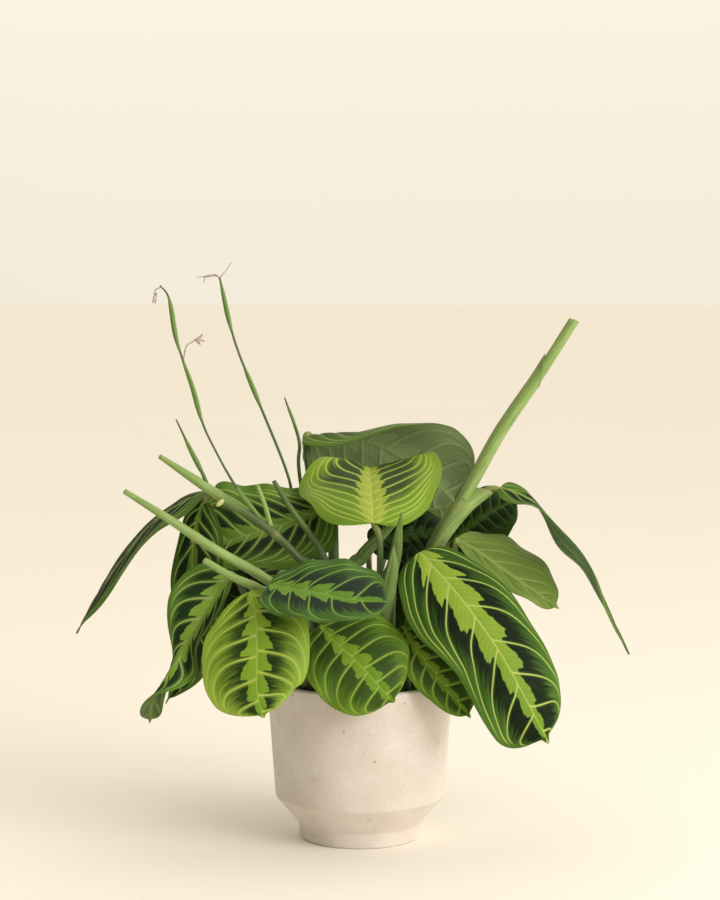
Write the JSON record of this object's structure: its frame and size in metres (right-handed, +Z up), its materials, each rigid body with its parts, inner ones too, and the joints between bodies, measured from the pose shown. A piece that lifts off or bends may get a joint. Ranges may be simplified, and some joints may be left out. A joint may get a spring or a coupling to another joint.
{
  "type": "potted prayer plant",
  "caption": "Potted prayer plant: broad patterned leaves, cut stems and thin flower stalks rise from soil in a round stoneware pot that rests on its flat foot.",
  "frame": {"origin": "middle of the pot's flat underside", "axes": "+Z up along the pot's axis, -Y to the front of the plant, +X to its right as seen from the front"},
  "size_m": [0.3708, 0.2907, 0.3782],
  "materials": {
    "pot": "matte speckled stoneware",
    "soil": "rough dark potting mix",
    "leaf_dark": "satin dark green with pale veins",
    "leaf_lime": "satin lemon green with pale veins",
    "leaf_green": "satin mid green with pale veins",
    "leaf_olive": "satin olive green",
    "stem": "satin pale green",
    "flower_stalk": "satin green"
  },
  "bodies": {
    "root": {"pot": "pot", "soil": "soil", "leaf_front_right": "leaf_dark", "leaf_front_dark": "leaf_dark", "leaf_right_back": "leaf_dark", "leaf_inner_right": "leaf_dark", "leaf_inner_low": "leaf_dark", "leaf_inner_left": "leaf_dark", "leaf_centre_cup": "leaf_lime", "leaf_front_left": "leaf_lime", "leaf_front_centre": "leaf_lime", "leaf_rim_right": "leaf_lime", "leaf_back_upright": "leaf_green", "leaf_left_upper": "leaf_green", "leaf_left_folded": "leaf_green", "leaf_rear_left": "leaf_green", "leaf_rear_centre": "leaf_green", "leaf_rear_right": "leaf_green", "leaf_rear_high": "leaf_green", "leaf_right_olive": "leaf_olive", "leafy_stem_right": "stem", "leafy_stem_left": "stem", "stem_left_lower_cut": "stem", "stem_left_short_cut": "stem", "shoot_centre": "stem", "shoot_centre_low": "stem", "sheath_centre": "stem", "flower_stalk_middle": "flower_stalk", "flower_stalk_right": "flower_stalk", "flower_stalk_short": "flower_stalk"}
  },
  "joints": []
}
